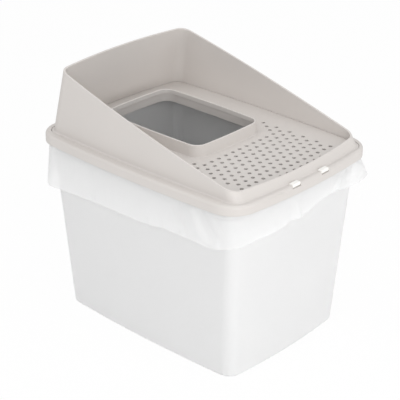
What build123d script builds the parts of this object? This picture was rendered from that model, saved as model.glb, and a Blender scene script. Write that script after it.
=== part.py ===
from build123d import *
import math
import os

os.makedirs("parts", exist_ok=True)

# A top entry litter box: a tapered tub lined with a film bag, a ring frame that holds the
# bag over the tub's rim, and a hood with a landing tray that hinges at the back and is held
# down by two small latches at the front. Millimetres. X is the width, the low lip of the hood
# and its latches face -Y, the tall wall is at +Y, and the tub stands on z = 0.

# Plan outlines: every side bows out a little between its rounded corners
side_bow = 7.0
end_bow = 9.0
frame_side_bow = 9.5
frame_end_bow = 13.5
hood_end_bow = 11.0
entry_bow = 3.0

# Frame: the largest plan, which the tub below it and the hood above it are set in from
frame_width = 400.0
frame_length = 517.0
frame_corner = 52.0
frame_wall = 3.0
frame_shoulder = 6.0
band_drop = 8.5
band_rise = 9.5
seat_depth = 5.0
clamp_reach = 20.0
clamp_wall = 2.5
rebate_gap = 0.8

# Tub
tub_height = 358.0
rim_side_set = 18.5
rim_end_set = 20.5
side_taper = 22.0
end_taper = 19.0
base_corner = 26.0
mouth_corner = 19.0
tub_wall = 2.5
tub_floor = 3.5
base_round = 6.0
foot_width = 16.0
foot_recess = 1.5
rim_reach = 8.5
rim_corner = 38.0
rim_drop = 11.0
rim_thickness = 3.0
rim_round = 1.8

# Liner bag
film = 0.8
film_gap = 0.3
hem_drop = 65.0
hem_rise = 20.5
hem_flare = 9.5

# Hood: plan at the top of its foot, and how far each wall leans in
hood_side_set = 21.5
hood_front_set = 13.4
hood_rear_set = 18.2
hood_corner = 23.0
hood_wall = 3.5
foot_ledge = 4.0
foot_set = 0.5
foot_cove = 3.0
side_lean = 3.0
rear_lean = 11.85
front_lean = 30.0
hood_height = 128.4
lip_height = 12.6
edge_round = 1.2
crown_spare = 20.0

# Landing tray
deck_rise = 3.3
deck_thickness = 3.0
tray_gap = 0.3
tray_step = 1.5
tray_rim = 3.0
hole_diameter = 7.6
hole_pitch = 18.9
row_pitch = 16.0
row_setback = 25.6
hole_rows = 12
hole_reach = 126.0
hole_side_margin = 16.0
hole_front_margin = 16.5
hole_corner = 40.5

# Entry collar
entry_width = 171.0
entry_front = -66.0
entry_rear = 175.5
entry_corner = 20.0
collar_height = 23.2
collar_land = 3.5
collar_spread = 1.5
collar_lip = 9.0
collar_wall = 2.0
collar_cove = 1.5
collar_round = 1.3

# Latches
latch_width = 20.0
latch_spacing = 79.0
latch_wall = 3.0
latch_rise = 5.0
latch_hook_wall = 2.4
latch_barrel = 2.4
latch_set_in = 2.5
latch_bite = 2.0
latch_side_gap = 0.4
latch_floor_gap = 0.3
latch_pin = 1.2
latch_pin_reach = 2.0
latch_boss = 3.0
pin_clearance = 0.08

# Rear hinge
hinge_spacing = 170.0
barrel_radius = 3.5
barrel_width = 30.0
barrel_setback = 4.5
barrel_gap = 0.3
lug_width = 6.0
hinge_pin = 2.0
hinge_pin_reach = 5.0
hinge_side_gap = 0.4

# Half height of the slice in which a face is looked for
near = 0.1


# Places and sizes worked out from the ones above
rim_width = frame_width - 2 * rim_side_set
rim_length = frame_length - 2 * rim_end_set
base_width = rim_width - 2 * side_taper
base_length = rim_length - 2 * end_taper
frame_bottom = tub_height - band_drop
frame_top = tub_height + band_rise
seat_height = frame_top - seat_depth
clamp_bottom = tub_height - clamp_reach
hood_width = frame_width - 2 * hood_side_set
hood_front = -frame_length / 2 + hood_front_set
hood_rear = frame_length / 2 - hood_rear_set
foot_top = frame_top - foot_set
foot_bottom = seat_height + tray_gap
deck_top = frame_top + deck_rise
deck_bottom = deck_top - deck_thickness
collar_top = deck_top + collar_height
collar_grow = collar_land + collar_spread


def plan(half_width, front, rear, corner, height, side=side_bow, end=end_bow):
    """Face of a rounded rectangle whose four sides bow outward, at a height."""
    middle = (front + rear) / 2
    chord_x = half_width - side
    front_chord = front + end
    rear_chord = rear - end
    with BuildSketch(Plane.XY.offset(height)) as face:
        with BuildLine():
            ThreePointArc((chord_x, front_chord), (half_width, middle), (chord_x, rear_chord))
            ThreePointArc((chord_x, rear_chord), (0, rear), (-chord_x, rear_chord))
            ThreePointArc((-chord_x, rear_chord), (-half_width, middle), (-chord_x, front_chord))
            ThreePointArc((-chord_x, front_chord), (0, front), (chord_x, front_chord))
        make_face()
        fillet(face.vertices(), corner)
    return face.sketch.face()


def tub_plan(level, inset=0.0, height=None):
    """Tub outline as wide as it is at level, moved inward by inset and drawn at height."""
    share = level / tub_height
    half_width = (base_width + (rim_width - base_width) * share) / 2 - inset
    half_length = (base_length + (rim_length - base_length) * share) / 2 - inset
    corner = base_corner + (mouth_corner - base_corner) * share - inset
    height = level if height is None else height
    return plan(half_width, -half_length, half_length, corner, height)


def rim_plan(height, grow=0.0):
    """Outline of the tub's turned-out rim, grown outward."""
    half_width = rim_width / 2 + rim_reach + grow
    half_length = rim_length / 2 + rim_reach + grow
    return plan(half_width, -half_length, half_length, rim_corner + grow, height)


def frame_plan(height, inset=0.0):
    """Outline of the frame band, moved inward by inset."""
    half_length = frame_length / 2 - inset
    return plan(frame_width / 2 - inset, -half_length, half_length, frame_corner - inset, height,
                frame_side_bow, frame_end_bow)


def clamp_plan(height, inset=0.0):
    """Outline of the frame's inner skirt, which fits inside the lined tub."""
    return tub_plan(clamp_bottom, tub_wall + 2 * film_gap + film + inset, height)


def hood_plan(level, inset=0.0, height=None):
    """Outline of the leaning hood wall at level, moved inward by inset and drawn at height."""
    rise = level - foot_top
    half_width = hood_width / 2 - rise * math.tan(math.radians(side_lean)) - inset
    front = hood_front + rise * math.tan(math.radians(front_lean)) + inset
    rear = hood_rear - rise * math.tan(math.radians(rear_lean)) - inset
    height = level if height is None else height
    return plan(half_width, front, rear, hood_corner - inset / 2, height, side_bow, hood_end_bow)


def foot_plan(height, grow=0.0):
    """Outline of the hood's flared foot, grown outward."""
    out = foot_ledge + grow
    return plan(hood_width / 2 + out, hood_front - out, hood_rear + out, hood_corner + out, height,
                side_bow, hood_end_bow)


def pocket_plan(height, inset=0.0):
    """Outline of the pocket under the hood wall that takes the edge of the tray."""
    return hood_plan(deck_top, hood_wall - tray_step + inset, height)


def entry_plan(height, grow=0.0):
    """Outline of the entry hole, grown outward."""
    return plan(entry_width / 2 + grow, entry_front - grow, entry_rear + grow, entry_corner + grow,
                height, entry_bow, entry_bow)


def ring(outer, inner):
    """Face between two outlines at the same height."""
    with BuildSketch(Plane(outer.center())) as band:
        add(outer)
        add(inner, mode=Mode.SUBTRACT)
    return band.sketch.face()


# Hinge and latch places
hinge_y = hood_rear + foot_ledge + barrel_setback
hinge_z = frame_top + barrel_radius + barrel_gap
hinge_places = [-hinge_spacing / 2, hinge_spacing / 2]
lug_offset = barrel_width / 2 + hinge_side_gap + lug_width / 2
lug_places = [place + side * lug_offset for place in hinge_places for side in (-1, 1)]
latch_places = {"left": -latch_spacing / 2, "right": latch_spacing / 2}
latch_face = -frame_length / 2 + latch_set_in
latch_y = latch_face + latch_barrel
latch_z = foot_top + 2 * latch_floor_gap + latch_hook_wall - latch_rise
pocket_width = latch_width + 2 * latch_side_gap
pocket_floor = latch_z - latch_barrel - latch_floor_gap
pocket_dip = hood_end_bow * ((latch_spacing + pocket_width) / hood_width) ** 2
pocket_rear = hood_front - foot_ledge - rebate_gap + pocket_dip


# Tub: tapered bin with a recessed base and a rim that turns out and down
rim_bottom = tub_height - rim_drop
with BuildPart() as tub:
    loft([tub_plan(0), tub_plan(tub_height)])
    fillet(tub.faces().sort_by(Axis.Z)[0].edges(), base_round)
    extrude(rim_plan(rim_bottom), amount=rim_drop)
    fillet(tub.faces().sort_by(Axis.Z)[-1].edges(), rim_round)
    extrude(ring(rim_plan(rim_bottom, -rim_thickness), tub_plan(tub_height, 0, rim_bottom)),
            amount=rim_drop - rim_thickness, mode=Mode.SUBTRACT)
    loft([tub_plan(tub_floor, tub_wall), tub_plan(tub_height, tub_wall)], mode=Mode.SUBTRACT)
    extrude(tub_plan(0, foot_width), amount=foot_recess, mode=Mode.SUBTRACT)
tub.part.label = "tub"
export_step(tub.part, "parts/tub.step")


# Liner bag: film inside the tub, turned over the rim, its hem hanging outside and cut askew
bag_top = tub_height + film_gap + film
bag_floor = tub_floor + film_gap
hem_height = tub_height - hem_drop
hem_low = hem_height - hem_rise
skirt_foot = hem_low - 2 * film
with BuildPart() as liner_bag:
    loft([rim_plan(skirt_foot, film_gap + film + hem_flare), rim_plan(bag_top, film_gap + film)])
    loft([rim_plan(skirt_foot, film_gap + hem_flare), rim_plan(bag_top, film_gap)], mode=Mode.SUBTRACT)
    extrude(rim_plan(bag_top - film, film_gap + film / 2), amount=film)
    with BuildSketch(Plane.XZ.offset(-frame_length)) as below_hem:
        with BuildLine():
            Polyline((-frame_width, 0), (frame_width, 0), (frame_width, hem_height + 2 * hem_rise),
                     (-frame_width, hem_height - 2 * hem_rise), close=True)
        make_face()
    extrude(amount=2 * frame_length, mode=Mode.SUBTRACT)
    loft([tub_plan(bag_floor, tub_wall + film_gap), tub_plan(bag_top, tub_wall + film_gap)])
    loft([tub_plan(bag_floor + film, tub_wall + film_gap + film),
          tub_plan(bag_top, tub_wall + film_gap + film)], mode=Mode.SUBTRACT)
liner_bag.part.label = "liner_bag"
export_step(liner_bag.part, "parts/liner_bag.step")


# Frame: outer band with a rounded shoulder, a seat for the hood's foot, an inner skirt that
# clamps the bag, pockets for the latches and lugs for the hinge
boss_front = -frame_length / 2 + frame_wall
with BuildPart() as rim_frame:
    extrude(frame_plan(frame_bottom), amount=frame_top - frame_bottom)
    fillet(rim_frame.faces().sort_by(Axis.Z)[-1].edges(), frame_shoulder)
    extrude(frame_plan(frame_bottom, frame_wall), amount=frame_top - frame_bottom - frame_wall,
            mode=Mode.SUBTRACT)
    extrude(foot_plan(seat_height - frame_wall, rebate_gap + frame_wall), amount=frame_top - seat_height)
    extrude(clamp_plan(clamp_bottom), amount=seat_height - clamp_bottom)
    for place in latch_places.values():
        with BuildSketch(Plane.XY.offset(pocket_floor - latch_boss)):
            with Locations((place, pocket_rear)):
                Rectangle(pocket_width + 2 * latch_boss, pocket_rear - boss_front,
                          align=(Align.CENTER, Align.MAX))
        extrude(amount=frame_top - frame_wall - pocket_floor + latch_boss)
    extrude(foot_plan(seat_height, rebate_gap), amount=frame_top - seat_height, mode=Mode.SUBTRACT)
    extrude(clamp_plan(clamp_bottom, clamp_wall), amount=frame_top - clamp_bottom, mode=Mode.SUBTRACT)
    for place in latch_places.values():
        with BuildSketch(Plane.XY.offset(pocket_floor)):
            with Locations((place, pocket_rear)):
                Rectangle(pocket_width, frame_length, align=(Align.CENTER, Align.MAX))
        extrude(amount=frame_top, mode=Mode.SUBTRACT)
        with BuildSketch(Plane.YZ.offset(place)):
            with Locations((latch_y, latch_z)):
                Circle(latch_pin + pin_clearance)
        extrude(amount=pocket_width / 2 + latch_pin_reach, both=True, mode=Mode.SUBTRACT)
    for place in lug_places:
        with BuildSketch(Plane.YZ.offset(place)):
            with Locations((hinge_y, hinge_z)):
                Circle(barrel_radius)
                Rectangle(2 * barrel_radius, hinge_z - seat_height, align=(Align.CENTER, Align.MAX))
        extrude(amount=lug_width / 2, both=True)
    for place in hinge_places:
        for side in (-1, 1):
            with BuildSketch(Plane.YZ.offset(place + side * (barrel_width / 2 + hinge_side_gap))):
                with Locations((hinge_y, hinge_z)):
                    Circle(hinge_pin)
            extrude(amount=-side * (hinge_pin_reach + hinge_side_gap))
rim_frame.part.label = "rim_frame"
export_step(rim_frame.part, "parts/rim_frame.step")


# Hood: leaning walls on a flared foot, cut by one slope from the tall back to the low lip
crown_height = foot_top + hood_height
crown_rear = hood_rear - hood_height * math.tan(math.radians(rear_lean))
crown_slope = math.atan((hood_height - lip_height) / (crown_rear - hood_front))
wall_top = crown_height + crown_spare
tab_root = hood_rear - 2 * hood_wall
tab_bottom = frame_top + barrel_gap
crown_plane = Plane(origin=(0, crown_rear, crown_height), x_dir=(1, 0, 0),
                    z_dir=(0, -math.sin(crown_slope), math.cos(crown_slope)))
with BuildPart() as hood:
    loft([hood_plan(foot_bottom), hood_plan(wall_top)])
    extrude(foot_plan(foot_bottom), amount=foot_top - foot_bottom)
    level_faces = hood.faces().filter_by(Axis.Z)
    foot_face = level_faces.filter_by_position(Axis.Z, foot_top - near, foot_top + near)[0]
    fillet(foot_face.inner_wires()[0].edges(), foot_cove)
    split(bisect_by=crown_plane, keep=Keep.BOTTOM)
    for place in hinge_places:
        with BuildSketch(Plane.YZ.offset(place)):
            with Locations((hinge_y, hinge_z)):
                Circle(barrel_radius)
            with Locations((tab_root, tab_bottom)):
                Rectangle(hinge_y - tab_root, hinge_z - tab_bottom, align=(Align.MIN, Align.MIN))
            with Locations((tab_root, foot_bottom)):
                Rectangle(hood_rear - tab_root, hinge_z - foot_bottom, align=(Align.MIN, Align.MIN))
        extrude(amount=barrel_width / 2, both=True)
    loft([hood_plan(deck_top, hood_wall), hood_plan(wall_top, hood_wall)], mode=Mode.SUBTRACT)
    extrude(pocket_plan(foot_bottom), amount=deck_top + tray_gap - foot_bottom, mode=Mode.SUBTRACT)
    fillet(hood.faces().sort_by(Axis.Z)[-1].edges(), edge_round)
    for place in hinge_places:
        for side in (-1, 1):
            with BuildSketch(Plane.YZ.offset(place + side * barrel_width / 2)):
                with Locations((hinge_y, hinge_z)):
                    Circle(hinge_pin + pin_clearance)
            extrude(amount=-side * (hinge_pin_reach + hinge_side_gap), mode=Mode.SUBTRACT)
hood.part.label = "hood"
export_step(hood.part, "parts/hood.step")


def clear_of_collar(x, y):
    """True where a drain hole's centre keeps its margin from the foot of the collar."""
    plain_side = entry_width / 2 + collar_grow + hole_side_margin - hole_corner
    plain_front = entry_front - collar_grow - hole_front_margin + hole_corner
    return math.hypot(max(abs(x) - plain_side, 0), max(plain_front - y, 0)) > hole_corner


# Landing tray: deck with staggered drain holes and a rolled collar round the entry hole
drain_holes = []
for row in range(hole_rows):
    y = hood_front + row_setback + row * row_pitch
    stagger = row % 2 * 0.5
    reach = int(hole_reach / hole_pitch) + 1
    for column in range(-reach, reach + 1):
        x = (column + stagger) * hole_pitch
        if abs(x) < hole_reach and clear_of_collar(x, y):
            drain_holes.append((x, y))

with BuildPart() as landing_tray:
    extrude(pocket_plan(foot_bottom, tray_gap), amount=deck_top - foot_bottom)
    extrude(pocket_plan(foot_bottom, tray_gap + tray_rim), amount=deck_bottom - foot_bottom,
            mode=Mode.SUBTRACT)
    loft([entry_plan(deck_top, collar_grow), entry_plan(collar_top, collar_land)])
    land_face = landing_tray.faces().sort_by(Axis.Z)[-1]
    fillet(land_face.edges(), collar_round)
    level_faces = landing_tray.faces().filter_by(Axis.Z)
    deck_face = level_faces.filter_by_position(Axis.Z, deck_top - near, deck_top + near)[0]
    fillet(deck_face.inner_wires()[0].edges(), collar_cove)
    loft([entry_plan(deck_bottom, collar_grow - collar_wall),
          entry_plan(collar_top - collar_lip, collar_land - collar_wall)], mode=Mode.SUBTRACT)
    extrude(entry_plan(foot_bottom), amount=collar_top - foot_bottom, mode=Mode.SUBTRACT)
    land_face = landing_tray.faces().filter_by(Axis.Z).sort_by(Axis.Z)[-1]
    fillet(land_face.inner_wires()[0].edges(), collar_round)
    with BuildSketch(Plane.XY.offset(deck_top)):
        with Locations(*drain_holes):
            Circle(hole_diameter / 2)
    extrude(amount=-deck_thickness, mode=Mode.SUBTRACT)
landing_tray.part.label = "landing_tray"
export_step(landing_tray.part, "parts/landing_tray.step")


# Latches: a rocker on two stub pins whose hook closes over the hood's foot
def make_latch(side, place):
    """Build one front latch at its place along the band and write it."""
    hook_reach = hood_front - foot_ledge + latch_bite - latch_face
    with BuildPart() as latch:
        with BuildSketch(Plane.YZ.offset(place)):
            with Locations((latch_y, latch_z)):
                Circle(latch_barrel)
            with Locations((latch_face, latch_z)):
                Rectangle(latch_wall, latch_rise, align=(Align.MIN, Align.MIN))
            with Locations((latch_face, latch_z + latch_rise)):
                Rectangle(hook_reach, latch_hook_wall, align=(Align.MIN, Align.MAX))
        extrude(amount=latch_width / 2, both=True)
        top_edges = latch.edges().filter_by(Axis.X).group_by(Axis.Z)[-1]
        fillet(top_edges, latch_hook_wall / 3)
        with BuildSketch(Plane.YZ.offset(place)):
            with Locations((latch_y, latch_z)):
                Circle(latch_pin)
        extrude(amount=latch_width / 2 + latch_pin_reach, both=True)
    latch.part.label = "front_latch_" + side
    export_step(latch.part, "parts/front_latch_" + side + ".step")
    return latch


latches = [make_latch(side, place) for side, place in latch_places.items()]

print("drain holes", len(drain_holes))
print("hinge axis y z", round(hinge_y, 3), round(hinge_z, 3))
print("latch axis y z", round(latch_y, 3), round(latch_z, 3))
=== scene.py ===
import bpy
import math
from mathutils import Matrix, Vector, noise


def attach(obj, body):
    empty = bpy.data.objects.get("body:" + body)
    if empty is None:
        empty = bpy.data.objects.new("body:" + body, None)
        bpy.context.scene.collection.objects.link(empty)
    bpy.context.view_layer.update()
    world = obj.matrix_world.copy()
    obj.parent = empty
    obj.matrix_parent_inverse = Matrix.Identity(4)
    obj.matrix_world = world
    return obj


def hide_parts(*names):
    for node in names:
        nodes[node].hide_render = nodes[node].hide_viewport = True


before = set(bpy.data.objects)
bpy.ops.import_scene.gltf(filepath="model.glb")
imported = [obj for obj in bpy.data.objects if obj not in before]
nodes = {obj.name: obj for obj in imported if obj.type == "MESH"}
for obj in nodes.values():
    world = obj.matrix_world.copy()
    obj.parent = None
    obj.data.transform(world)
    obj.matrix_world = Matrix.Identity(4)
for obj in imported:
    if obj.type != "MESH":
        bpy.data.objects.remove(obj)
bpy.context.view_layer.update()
scene = bpy.context.scene


def hexToLinear(code):  # sRGB hex to linear colour
    parts = [int(code[i:i + 2], 16) / 255 for i in (1, 3, 5)]
    return [c / 12.92 if c <= 0.04045 else ((c + 0.055) / 1.055) ** 2.4 for c in parts] + [1.0]


def addNode(material, kind, values=None, **links):
    # values go on the node's sockets or settings; links are (node, output) pairs by socket name
    tree = material.node_tree
    node = tree.nodes.new(kind)
    for key, value in (values or {}).items():
        if key in node.inputs:
            node.inputs[key].default_value = value
        else:
            setattr(node, key, value)
    for key, (source, output) in links.items():
        tree.links.new(source.outputs[output], node.inputs[key.replace("_", " ")])
    return node


def startMaterial(name):
    material = bpy.data.materials.new(name)
    material.use_nodes = True
    shader = material.node_tree.nodes["Principled BSDF"]
    return material, shader


def setShader(material, shader, values, **links):
    # the same for a material's own shader node
    for key, value in values.items():
        shader.inputs[key].default_value = value
    for key, (source, output) in links.items():
        material.node_tree.links.new(source.outputs[output], shader.inputs[key.replace("_", " ")])


def mouldedPolypropylene(name, look):
    # injection moulded polypropylene: satin, a fine spark-eroded grain, and faint flow clouds
    material, shader = startMaterial(name)
    place = addNode(material, "ShaderNodeTexCoord")
    clouds = addNode(material, "ShaderNodeTexNoise",
                     {"Scale": 1000 / look["cloudMm"], "Detail": 3.0}, Vector=(place, "Object"))
    tint = addNode(material, "ShaderNodeMix", {"data_type": "RGBA"})
    tint.inputs[6].default_value = hexToLinear(look["colour"])  # 6 and 7 are the two colours
    tint.inputs[7].default_value = hexToLinear(look["cloudColour"])
    material.node_tree.links.new(clouds.outputs["Fac"], tint.inputs[0])
    grain = addNode(material, "ShaderNodeTexNoise",
                    {"Scale": 1000 / look["grainMm"], "Detail": 2.0}, Vector=(place, "Object"))
    rough = addNode(material, "ShaderNodeMapRange",
                    {"To Min": look["roughness"] - look["uneven"],
                     "To Max": look["roughness"] + look["uneven"]},
                    Value=(clouds, "Fac"))
    edges = addNode(material, "ShaderNodeBevel", {"samples": 6, "Radius": look["edgeMm"] / 1000})
    bump = addNode(material, "ShaderNodeBump",
                   {"Strength": look["grainStrength"], "Distance": look["grainDeepMm"] / 1000},
                   Height=(grain, "Fac"), Normal=(edges, "Normal"))
    material.node_tree.links.new(tint.outputs[2], shader.inputs["Base Color"])
    setShader(material, shader, {"IOR": 1.49, "Subsurface Weight": look["glow"],
                                 "Subsurface Radius": (1.0, 1.0, 1.0),
                                 "Subsurface Scale": look["glowMm"] / 1000},
              Roughness=(rough, "Result"), Normal=(bump, "Normal"))
    return material


greige = mouldedPolypropylene("moulded_polypropylene_greige", {
    "colour": "#D7D2CE", "cloudColour": "#D3CECA",
    "cloudMm": 90, "grainMm": 1.2, "grainStrength": 0.18, "grainDeepMm": 0.2,
    "roughness": 0.42, "uneven": 0.05, "edgeMm": 0.7, "glow": 0.0, "glowMm": 1,
})  # the real grain is about 0.1 mm; drawn coarse so that it shows
white = mouldedPolypropylene("moulded_polypropylene_white", {
    "colour": "#F9F9F9", "cloudColour": "#F6F6F6",
    "cloudMm": 120, "grainMm": 1.4, "grainStrength": 0.12, "grainDeepMm": 0.2,
    "roughness": 0.36, "uneven": 0.05, "edgeMm": 0.7, "glow": 0.8, "glowMm": 9,
})  # light passes some way into the white wall; its grain is drawn coarse too


def glossyAcetal():
    # moulded acetal, as clips are: dense, white, and polished by its steel mould
    look = {"colour": "#F8F7F3", "smoothest": 0.11, "roughest": 0.28, "wearMm": 6}
    material, shader = startMaterial("moulded_acetal_white")
    place = addNode(material, "ShaderNodeTexCoord")
    wear = addNode(material, "ShaderNodeTexNoise", {"Scale": 1000 / look["wearMm"], "Detail": 4.0},
                   Vector=(place, "Object"))
    rough = addNode(material, "ShaderNodeMapRange",
                    {"To Min": look["smoothest"], "To Max": look["roughest"]},
                    Value=(wear, "Fac"))
    setShader(material, shader, {"Base Color": hexToLinear(look["colour"]), "IOR": 1.48,
                                 "Coat Weight": 0.3, "Coat Roughness": 0.08},
              Roughness=(rough, "Result"))
    return material


def blownPolyethylene():
    # blown polyethylene film: milky, limp, glossy in streaks, with fine crackle creases
    look = {
        "colour": "#FCFCFC", "smoothest": 0.22, "roughest": 0.42,
        "creaseMm": 34, "creaseDeepMm": 3, "crackleMm": 9, "crackleDeepMm": 0.8,
        "cover": 0.6,    # how much of what is behind the film it hides
        "through": 0.4,  # share of the light that it passes on, scattered
    }
    material, shader = startMaterial("blown_polyethylene_film")
    place = addNode(material, "ShaderNodeTexCoord")
    upright = addNode(material, "ShaderNodeMapping", {"Scale": (1.0, 1.0, 0.35)},
                      Vector=(place, "Object"))  # creases run down the film
    crease = addNode(material, "ShaderNodeTexNoise",
                     {"Scale": 1000 / look["creaseMm"], "Detail": 3.0, "Distortion": 0.6},
                     Vector=(upright, "Vector"))
    crackle = addNode(material, "ShaderNodeTexVoronoi",
                      {"feature": "F1", "Scale": 1000 / look["crackleMm"]},
                      Vector=(place, "Object"))
    wide = addNode(material, "ShaderNodeBump",
                   {"Strength": 0.5, "Distance": look["creaseDeepMm"] / 1000},
                   Height=(crease, "Fac"))
    fine = addNode(material, "ShaderNodeBump",
                   {"Strength": 0.12, "Distance": look["crackleDeepMm"] / 1000},
                   Height=(crackle, "Distance"), Normal=(wide, "Normal"))
    rough = addNode(material, "ShaderNodeMapRange",
                    {"To Min": look["smoothest"], "To Max": look["roughest"]},
                    Value=(crease, "Fac"))
    setShader(material, shader,
              {"Base Color": hexToLinear(look["colour"]), "IOR": 1.51, "Alpha": look["cover"]},
              Roughness=(rough, "Result"), Normal=(fine, "Normal"))
    through = addNode(material, "ShaderNodeBsdfTranslucent", {"Color": hexToLinear(look["colour"])},
                      Normal=(fine, "Normal"))
    blend = addNode(material, "ShaderNodeMixShader", {"Fac": look["through"]})
    material.node_tree.links.new(shader.outputs["BSDF"], blend.inputs[1])
    material.node_tree.links.new(through.outputs["BSDF"], blend.inputs[2])
    material.node_tree.links.new(blend.outputs["Shader"],
                                 material.node_tree.nodes["Material Output"].inputs["Surface"])
    return material


finishes = {
    "tub": white,
    "rim_frame": greige,
    "hood": greige,
    "landing_tray": greige,
    "front_latch_left": glossyAcetal(),
}
finishes["front_latch_right"] = finishes["front_latch_left"]
for name, material in finishes.items():
    slots = nodes[name].data.materials
    if len(slots):
        for i in range(len(slots)):
            slots[i] = material
    else:
        slots.append(material)
print("moulded finishes set")


tubPlan = {  # the tub's outlines, in mm: half sizes at base and mouth, corner radii, bows
    "baseHalf": (159.5, 219.0), "mouthHalf": (181.5, 238.0), "height": 358.0,
    "baseCorner": 26.0, "mouthCorner": 19.0, "lipReach": 8.5, "lipCorner": 38.0,
    "wall": 2.5, "floor": 3.5, "bow": (7.0, 9.0),
}
bagShape = {  # in mm; a place is how far round the rim from the front's middle, plus to the right
    "away": 0.7,                 # film to plastic
    "sideSteps": (96, 138, 20),  # points along the front, a side and a corner
    "skirtRows": 28,
    "wallRows": 20,
    "bandFoot": 349.5,           # height at which the skirt comes out from under the band
    "fullDrop": 77,              # drop at which the flare below is reached
    "hollow": 9,                 # how far the skirt may fall in under the rim, at the full drop
    "flareEase": 0.8,            # below 1 the flare starts quickly under the band
    "facetEase": 0.7,            # below 1 a facet is fuller along its crease
    "foldAtBand": 0.35,          # share of a fold's height where it leaves the band
    "cornerRise": 16,            # height where the inside wall of film turns to the floor
    "cornerRings": ((1.5, 4.8), (4.5, 1.8), (9.0, 0.4)),  # inset, height over the floor's film
    "floorReach": (0.86, 0.9),   # how far out the flat of the film on the floor goes
    "floorRings": (0.66, 0.42, 0.18),
    "floorBumps": (34, 2.4), "cornerBumps": (30, 1.6),  # size, height
    "seed": 41.0,
    # ripples: size along the film, size down it, height
    "ripple": (26, 90, 1.8), "fineRipple": (9, 40, 0.5),
    "hemWaver": (11, 0.9),       # size along the hem, height
    # slack of the film inside the tub: size along, size down, depth, and the plain slack
    "inner": (38, 120, 3.4), "fineInner": (15, 60, 1.1), "innerSlack": 2.2,
    "slackBelow": 326, "slackOver": 60,  # where the slack starts, and the drop it grows over
    # how far the hem stands out, by place
    "flare": [(-810, 8), (-720, 7), (-655, 7), (-620, 8), (-560, 5), (-470, 7), (-260, 8),
              (-215, -4), (-195, -9), (-170, -9), (-140, -1), (-100, 6), (-60, 8), (60, 8),
              (115, 9), (150, 19), (178, 33), (205, 33), (240, 17), (330, 9), (560, 8), (810, 8)],
    # height of the hem, by place
    "hem": [(-808, 286), (-740, 276), (-680, 268), (-640, 264), (-614, 265), (-582, 266),
            (-536, 270), (-478, 274), (-443, 275), (-374, 275), (-350, 278), (-316, 282),
            (-258, 282), (-246, 280), (-235, 275), (-223, 273), (-203, 275), (-188, 276),
            (-174, 279), (-164, 281), (-145, 286), (-118, 290), (-99, 291), (-72, 294),
            (-62, 295), (-54, 298), (-45, 299), (-27, 296), (-18, 296), (0, 301), (18, 306),
            (45, 309), (72, 311), (82, 313), (91, 309), (109, 305), (118, 303), (127, 303),
            (145, 305), (174, 306), (200, 311), (240, 314), (330, 313), (440, 310), (560, 305),
            (640, 304), (700, 298), (760, 292), (808, 286)],
    # soft folds: place at the band, place at the hem, half width, height
    "folds": [(-29, -22, 3.5, 3.4), (-46, -42, 8, -2.0), (122, 80, 7, 3.0), (143, 116, 8, -1.8),
              (-640, -622, 18, 2.0), (-560, -540, 20, 1.2), (612, 596, 10, 4.0),
              (588, 566, 7, 3.0), (640, 652, 9, -2.0), (330, 322, 12, 2.0), (470, 480, 14, 1.6),
              (735, 742, 12, 2.2), (-790, -770, 11, 2.0), (-700, -712, 9, 2.4)],
    # facets folded into the film: height and place of the upper end and of the lower end of the
    # crease, reach to its left and to its right, lift
    "facets": [((350, -263), (278, -226), 36, 10, 8.5), ((347, -226), (296, -198), 12, 9, 4.0),
               ((336, -310), (300, -290), 30, 18, -2.0), ((350, 128), (302, 112), 9, 22, -2.5)],
    # creases that run along the bag: place, height, half length, half width, lift
    "creases": [(-190, 340, 26, 2.8, 3.2), (-160, 338, 16, 3, 1.4),
                (150, 322, 30, 4, 1.0), (-600, 335, 50, 5, 1.0), (420, 330, 60, 5, 1.4)],
}


def outline(halfSize, corner, grow=0.0):
    # points of a rounded rectangle whose sides bow out, in order round it from the front's middle
    frontSteps, sideSteps, cornerSteps = bagShape["sideSteps"]
    bowX, bowY = tubPlan["bow"]
    halfX = halfSize[0] - bowX + grow
    halfY = halfSize[1] - bowY + grow
    radius = corner + grow
    flatX = halfX - radius
    flatY = halfY - radius
    points = []

    def straight(a, b, steps):
        points.extend((a[0] + (b[0] - a[0]) * i / steps, a[1] + (b[1] - a[1]) * i / steps)
                      for i in range(steps))

    def bend(cx, cy, start):
        for i in range(cornerSteps):
            turn = math.radians(start + 90 * i / cornerSteps)
            points.append((cx + radius * math.cos(turn), cy + radius * math.sin(turn)))

    straight((0, -halfY), (flatX, -halfY), frontSteps // 2)
    bend(flatX, -flatY, -90)
    straight((halfX, -flatY), (halfX, flatY), sideSteps)
    bend(flatX, flatY, 0)
    straight((flatX, halfY), (-flatX, halfY), frontSteps)
    bend(-flatX, flatY, 90)
    straight((-halfX, flatY), (-halfX, -flatY), sideSteps)
    bend(-flatX, -flatY, 180)
    straight((-flatX, -halfY), (0, -halfY), frontSteps // 2)
    return [Vector((x + bowX * (1 - (y / halfY) ** 2) * x / halfX,
                    y + bowY * (1 - (x / halfX) ** 2) * y / halfY, 0)) for x, y in points]


def tubOutline(level, inset):
    share = level / tubPlan["height"]
    half = [low + (high - low) * share
            for low, high in zip(tubPlan["baseHalf"], tubPlan["mouthHalf"])]
    corner = tubPlan["baseCorner"] + (tubPlan["mouthCorner"] - tubPlan["baseCorner"]) * share
    return outline(half, corner, -inset)


def rimOutline(grow):
    half = [side + tubPlan["lipReach"] for side in tubPlan["mouthHalf"]]
    return outline(half, tubPlan["lipCorner"], grow)


def outward(points, i):
    along = points[(i + 1) % len(points)] - points[i - 1]
    return Vector((along.y, -along.x, 0)).normalized()


def between(table, place):
    # value of a table of (place, value) pairs, eased between its points
    for (a, low), (b, high) in zip(table, table[1:]):
        if a <= place <= b:
            share = (place - a) / (b - a)
            return low + (high - low) * share * share * (3 - 2 * share)
    return table[0][1] if place < table[0][0] else table[-1][1]


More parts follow.
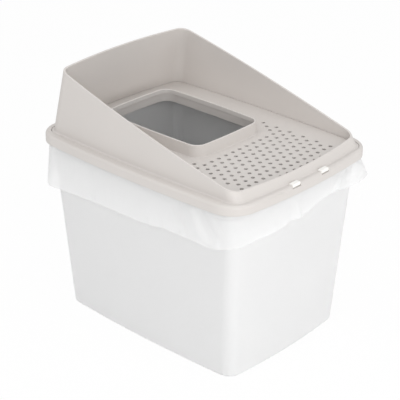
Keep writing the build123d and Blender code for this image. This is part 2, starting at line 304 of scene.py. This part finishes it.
def foldHeight(place, drop, length):
    # how far the folds lift the skirt at a place round the bag and a share of its drop
    total = 0.0
    share = bagShape["foldAtBand"] + (1 - bagShape["foldAtBand"]) * drop
    for top, foot, width, height in bagShape["folds"]:
        middle = top + (foot - top) * drop
        away = (place - middle + length / 2) % length - length / 2
        total += height * math.exp(-(away / width) ** 2) * share
    return total


def facetHeight(place, z):
    # ridges and hollows with straight sides, as a sharp fold leaves them
    total = 0.0
    for (high, start), (low, end), left, right, lift in bagShape["facets"]:
        share = (high - z) / (high - low)
        if 0 < share < 1:
            away = place - start - (end - start) * share
            reach = left if away < 0 else right
            along = math.sin(math.pi * share) ** bagShape["facetEase"]
            total += lift * along * max(1 - abs(away) / reach, 0)
    return total


def creaseHeight(place, z):
    # low ridges where the film is gathered under the band
    total = 0.0
    for middle, level, halfLength, halfWidth, lift in bagShape["creases"]:
        total += lift * math.exp(-((place - middle) / halfLength) ** 2
                                 - ((z - level) / halfWidth) ** 2)
    return total


def waves(along, down, key, step=0):
    # smooth noise on the film, with the sizes that bagShape gives it
    wide, tall, height = bagShape[key]
    return height * noise.noise(Vector((along / wide, down / tall, bagShape["seed"] + step)))


def bumpy(x, y, key):
    # how far the film on the floor lifts at a place
    size, height = bagShape[key]
    return height * max(0.0, noise.noise(Vector((x / size, y / size, bagShape["seed"]))))


def buildLinerBag():
    rim = rimOutline(bagShape["away"])
    count = len(rim)
    places = [0.0]
    for i in range(1, count):
        places.append(places[-1] + (rim[i] - rim[i - 1]).length)
    length = places[-1] + (rim[0] - rim[-1]).length
    places = [p if p < length / 2 else p - length for p in places]
    normals = [outward(rim, i) for i in range(count)]
    hemSize, hemHeight = bagShape["hemWaver"]
    rings = []

    for row in range(bagShape["skirtRows"] + 1):  # skirt, from the hem up to the band
        drop = 1 - row / bagShape["skirtRows"]
        ring = []
        for i in range(count):
            hem = between(bagShape["hem"], places[i])
            hem += hemHeight * noise.noise(Vector((places[i] / hemSize, bagShape["seed"], 0)))
            z = bagShape["bandFoot"] + (hem - bagShape["bandFoot"]) * drop
            fall = (bagShape["bandFoot"] - z) / bagShape["fullDrop"]
            lift = between(bagShape["flare"], places[i]) * fall ** bagShape["flareEase"]
            lift += foldHeight(places[i], drop, length)
            lift += facetHeight(places[i], z) + creaseHeight(places[i], z)
            lift += drop * (waves(places[i], z, "ripple") + waves(places[i], z, "fineRipple", 7))
            spot = rim[i] + normals[i] * max(lift, -bagShape["hollow"] * fall)
            ring.append((spot.x, spot.y, z))
        rings.append(ring)

    top = tubPlan["height"] + bagShape["away"]
    inside = tubPlan["wall"] + bagShape["away"]
    rimRoll = ((0.7, 354.0), (0.7, top - 1.8), (-0.2, top - 0.4), (-1.4, top))  # over the rim
    for grow, z in rimRoll:
        rings.append([(p.x, p.y, z) for p in rimOutline(grow)])
    rings.append([(p.x, p.y, top) for p in tubOutline(tubPlan["height"], inside - 1.2)])
    rings.append([(p.x, p.y, top - 0.6) for p in tubOutline(tubPlan["height"], inside)])

    for row in range(1, bagShape["wallRows"] + 1):  # down the inside of the tub
        z = top - (top - bagShape["cornerRise"]) * row / bagShape["wallRows"]
        ring = tubOutline(z, inside)
        slack = min(max((bagShape["slackBelow"] - z) / bagShape["slackOver"], 0), 1)
        spots = []
        for i, p in enumerate(ring):
            give = (bagShape["innerSlack"] + waves(places[i], z, "inner", 3)
                    + waves(places[i], z, "fineInner", 5))
            spot = p - outward(ring, i) * (slack * max(0.0, give))
            spots.append((spot.x, spot.y, z))
        rings.append(spots)

    low = tubPlan["floor"] + bagShape["away"]
    bends = [(tubOutline(tubPlan["floor"], inside + inset), low + rise)
             for inset, rise in bagShape["cornerRings"]]  # round the inner corner
    reachX, reachY = bagShape["floorReach"]
    bends.append(([Vector((p.x * reachX, p.y * reachY, 0)) for p in bends[-1][0]], low))
    for ring, z in bends:
        rings.append([(p.x, p.y, z + bumpy(p.x, p.y, "cornerBumps")) for p in ring])
    last = rings[-1]
    for share in bagShape["floorRings"]:  # across the floor
        rings.append([(x * share, y * share, low + bumpy(x * share, y * share, "floorBumps"))
                      for x, y, z in last])

    vertices = [[c / 1000 for c in spot] for ring in rings for spot in ring]
    faces = []
    for r in range(len(rings) - 1):
        for i in range(count):
            j = (i + 1) % count
            faces.append((r * count + i, r * count + j, (r + 1) * count + j, (r + 1) * count + i))
    vertices.append((0, 0, low / 1000))  # the innermost ring closes on the floor's middle
    start = (len(rings) - 1) * count
    faces.extend((start + i, start + (i + 1) % count, len(vertices) - 1) for i in range(count))
    mesh = bpy.data.meshes.new("liner_film")
    mesh.from_pydata(vertices, [], faces)
    mesh.shade_smooth()
    mesh.materials.append(blownPolyethylene())
    film = bpy.data.objects.new("liner_film", mesh)
    scene.collection.objects.link(film)
    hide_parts("liner_bag")
    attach(film, "tub_body")
    return film


film = buildLinerBag()
print("liner bag draped, area m2", round(sum(p.area for p in film.data.polygons), 3))


studio = {
    "worldStrength": 0.68,
    "floorColour": "#F7F7F7",
    "floorHalf": 6.0,       # m
    "floorLevel": -0.0005,  # just under the box's foot
    "paperWhite": 0.95,     # share of plain white that the camera sees on the floor
    "aim": (0, 0, 0.25),    # where the lamps point
    "lamps": [  # name, place and size in m, watts
        ("overhead", (0.0, 0.0, 3.0), 2.4, 16.5),
        ("frontLow", (0.6, -3.0, 0.5), 1.8, 14.5),
        ("frontLeft", (-1.8, -2.6, 1.3), 1.8, 27.0),
        ("leftHigh", (-2.4, 0.2, 2.0), 1.8, 7.0),
    ],
}


def buildStudio():
    world = bpy.data.worlds.new("studio_air")
    world.use_nodes = True
    scene.world = world
    air = world.node_tree.nodes["Background"]
    path = addNode(world, "ShaderNodeLightPath")
    level = addNode(world, "ShaderNodeMix", {"data_type": "FLOAT"})
    level.inputs[2].default_value = studio["worldStrength"]  # 2 lights the object, 3 is seen
    level.inputs[3].default_value = 1.0
    world.node_tree.links.new(path.outputs["Is Camera Ray"], level.inputs[0])
    world.node_tree.links.new(level.outputs[0], air.inputs["Strength"])
    air.inputs["Color"].default_value = (1, 1, 1, 1)

    paper, shader = startMaterial("studio_paper")
    setShader(paper, shader, {"Base Color": hexToLinear(studio["floorColour"]), "Roughness": 0.9})
    glow = addNode(paper, "ShaderNodeEmission", {"Color": (1, 1, 1, 1), "Strength": 1.0})
    path = addNode(paper, "ShaderNodeLightPath")
    share = addNode(paper, "ShaderNodeMath", {"operation": "MULTIPLY"})
    share.inputs[1].default_value = studio["paperWhite"]
    paper.node_tree.links.new(path.outputs["Is Camera Ray"], share.inputs[0])
    blend = addNode(paper, "ShaderNodeMixShader", None, Fac=(share, "Value"))
    paper.node_tree.links.new(shader.outputs["BSDF"], blend.inputs[1])
    paper.node_tree.links.new(glow.outputs["Emission"], blend.inputs[2])
    paper.node_tree.links.new(blend.outputs["Shader"],
                              paper.node_tree.nodes["Material Output"].inputs["Surface"])
    mesh = bpy.data.meshes.new("studio_floor")
    half, bottom = studio["floorHalf"], studio["floorLevel"]
    corners = [(x * half, y * half, bottom) for x, y in ((-1, -1), (1, -1), (1, 1), (-1, 1))]
    mesh.from_pydata(corners, [], [(0, 1, 2, 3)])
    mesh.materials.append(paper)
    floor = bpy.data.objects.new("studio_floor", mesh)
    scene.collection.objects.link(floor)

    aim = Vector(studio["aim"])
    for name, place, size, watts in studio["lamps"]:
        lamp = bpy.data.lights.new(name, "AREA")
        lamp.size = size
        lamp.energy = watts
        holder = bpy.data.objects.new(name, lamp)
        holder.location = place
        holder.rotation_euler = (aim - Vector(place)).to_track_quat("-Z", "Y").to_euler()
        scene.collection.objects.link(holder)


view = {
    "place": (-1.70552, -1.55628, 1.37784),
    "turn": -47.5445,             # degrees, 0 looks along +Y
    "down": 26.3228,
    "roll": 0.3982,
    "focal": 1358.26 / 400 * 36,  # mm, from a focal length of 1358.26 px in a frame of 400
    "sensor": 36,
    "shift": (-0.00125, 0.00125),
}


def placeCamera():
    lens = bpy.data.cameras.new("product_camera")
    lens.sensor_width = view["sensor"]
    lens.lens = view["focal"]
    lens.shift_x, lens.shift_y = view["shift"]
    lens.clip_end = 50
    turn, down, roll = (math.radians(view[k]) for k in ("turn", "down", "roll"))
    ahead = Vector((-math.sin(turn) * math.cos(down), math.cos(turn) * math.cos(down),
                    -math.sin(down)))
    right = Vector((math.cos(turn), math.sin(turn), 0))
    up = right.cross(ahead)
    right, up = (right * math.cos(roll) + up * math.sin(roll),
                 up * math.cos(roll) - right * math.sin(roll))
    camera = bpy.data.objects.new("product_camera", lens)
    camera.matrix_world = Matrix((
        (right.x, up.x, -ahead.x, view["place"][0]),
        (right.y, up.y, -ahead.y, view["place"][1]),
        (right.z, up.z, -ahead.z, view["place"][2]),
        (0, 0, 0, 1)))
    scene.collection.objects.link(camera)
    scene.camera = camera


buildStudio()
placeCamera()
scene.view_settings.view_transform = "Standard"
print("studio and camera placed")
